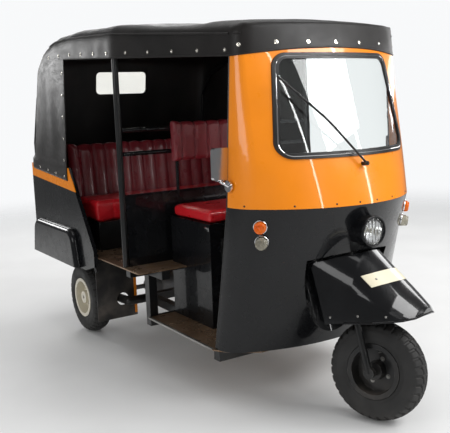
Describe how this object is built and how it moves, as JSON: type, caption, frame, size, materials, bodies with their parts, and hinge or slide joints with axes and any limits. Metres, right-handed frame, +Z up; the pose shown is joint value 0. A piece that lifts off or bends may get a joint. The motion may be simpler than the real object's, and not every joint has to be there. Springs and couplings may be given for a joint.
{
  "type": "auto rickshaw",
  "caption": "Three-wheeled passenger vehicle with an orange and black nose, a steered front wheel under a broad fender, an open driver's place, a red bench and a dark cloth canopy.",
  "frame": {"origin": "on the ground, under the middle of the vehicle's length and width", "axes": "-Y is the way the vehicle drives, +X is the vehicle's left, +Z is up"},
  "size_m": [1.3046, 2.6192, 1.7312],
  "materials": {
    "black_paint": "gloss black paint",
    "orange_paint": "gloss orange paint",
    "frame_paint": "satin black paint",
    "floor_metal": "worn brown sheet metal",
    "canopy_cloth": "coated cloth, black-brown",
    "seat_maroon": "pleated maroon cover",
    "seat_red": "smooth red cover",
    "black_rubber": "soft black rubber",
    "tyre_rubber": "tyre rubber",
    "clear_glass": "clear glass",
    "bright_chrome": "bright",
    "wheel_paint": "cream paint",
    "plate_paint": "cream, blank",
    "amber_lens": "amber lens",
    "white_lens": "white lens",
    "red_lens": "red lens",
    "cast_metal": "cast, rough"
  },
  "bodies": {
    "body": {"chassis_frame": "frame_paint", "steering_head": "frame_paint", "driver_floor": "floor_metal", "passenger_floor": "floor_metal", "cowl_lower": "black_paint", "cowl_upper": "orange_paint", "windscreen_seal": "black_rubber", "windscreen_glass": "clear_glass", "wiper": "frame_paint", "headlamp_shell": "black_paint", "headlamp_lens": "clear_glass", "indicator_lamps": "amber_lens", "marker_lamps": "white_lens", "mirrors": "bright_chrome", "quarter_panels": "black_paint", "left_side_panel": "black_paint", "rear_panel": "black_paint", "tail_lamps": "red_lens", "rear_plate": "plate_paint", "rear_bumper": "frame_paint", "rear_fenders": "black_paint", "side_posts": "frame_paint", "hood_rails": "frame_paint", "hood_bows": "frame_paint", "canopy": "canopy_cloth", "rear_window": "clear_glass", "passenger_seat_base": "frame_paint", "passenger_cushion": "seat_red", "passenger_backrest": "seat_maroon", "driver_seat_box": "black_paint", "driver_cushion": "seat_red", "driver_backrest": "seat_maroon", "engine_block": "cast_metal", "partition": "black_paint", "rear_arms": "frame_paint", "shock_absorbers": "frame_paint", "final_drive": "cast_metal", "splash_panels": "black_rubber"},
    "steering": {"steering_fork": "frame_paint", "handlebar": "bright_chrome", "handlebar_grips": "black_rubber", "front_fender": "black_paint", "front_plate": "plate_paint"},
    "front_wheel": {"front_wheel": "black_paint", "front_tyre": "tyre_rubber"},
    "rear_wheel_left": {"rear_wheel_left": "wheel_paint", "rear_tyre_left": "tyre_rubber"},
    "rear_wheel_right": {"rear_wheel_right": "wheel_paint", "rear_tyre_right": "tyre_rubber"},
    "boot_lid": {"boot_lid": "black_paint"},
    "engine_door": {"engine_door": "frame_paint"}
  },
  "joints": [
    {"name": "steering_turn", "type": "hinge", "parent": "body", "child": "steering", "pos_m": [0, -1.104, 0.20689], "axis": [0, 0.342, 0.9397], "range_deg": [-62, 18]},
    {"name": "front_wheel_spin", "type": "hinge", "parent": "steering", "child": "front_wheel", "pos_m": [0, -1.104, 0.20689], "axis": [0.9272, 0.352, -0.1281], "continuous": true},
    {"name": "rear_wheel_left_spin", "type": "hinge", "parent": "body", "child": "rear_wheel_left", "pos_m": [0.48, 0.781, 0.208], "axis": [1, 0, 0], "continuous": true},
    {"name": "rear_wheel_right_spin", "type": "hinge", "parent": "body", "child": "rear_wheel_right", "pos_m": [-0.48, 0.781, 0.208], "axis": [1, 0, 0], "continuous": true},
    {"name": "boot_lid_turn", "type": "hinge", "parent": "body", "child": "boot_lid", "pos_m": [0, 1.307, 0.9025], "axis": [1, 0, 0], "range_deg": [0, 95]},
    {"name": "engine_door_turn", "type": "hinge", "parent": "body", "child": "engine_door", "pos_m": [0, -0.366, 0.4705], "axis": [1, 0, 0], "range_deg": [0, 80]}
  ]
}
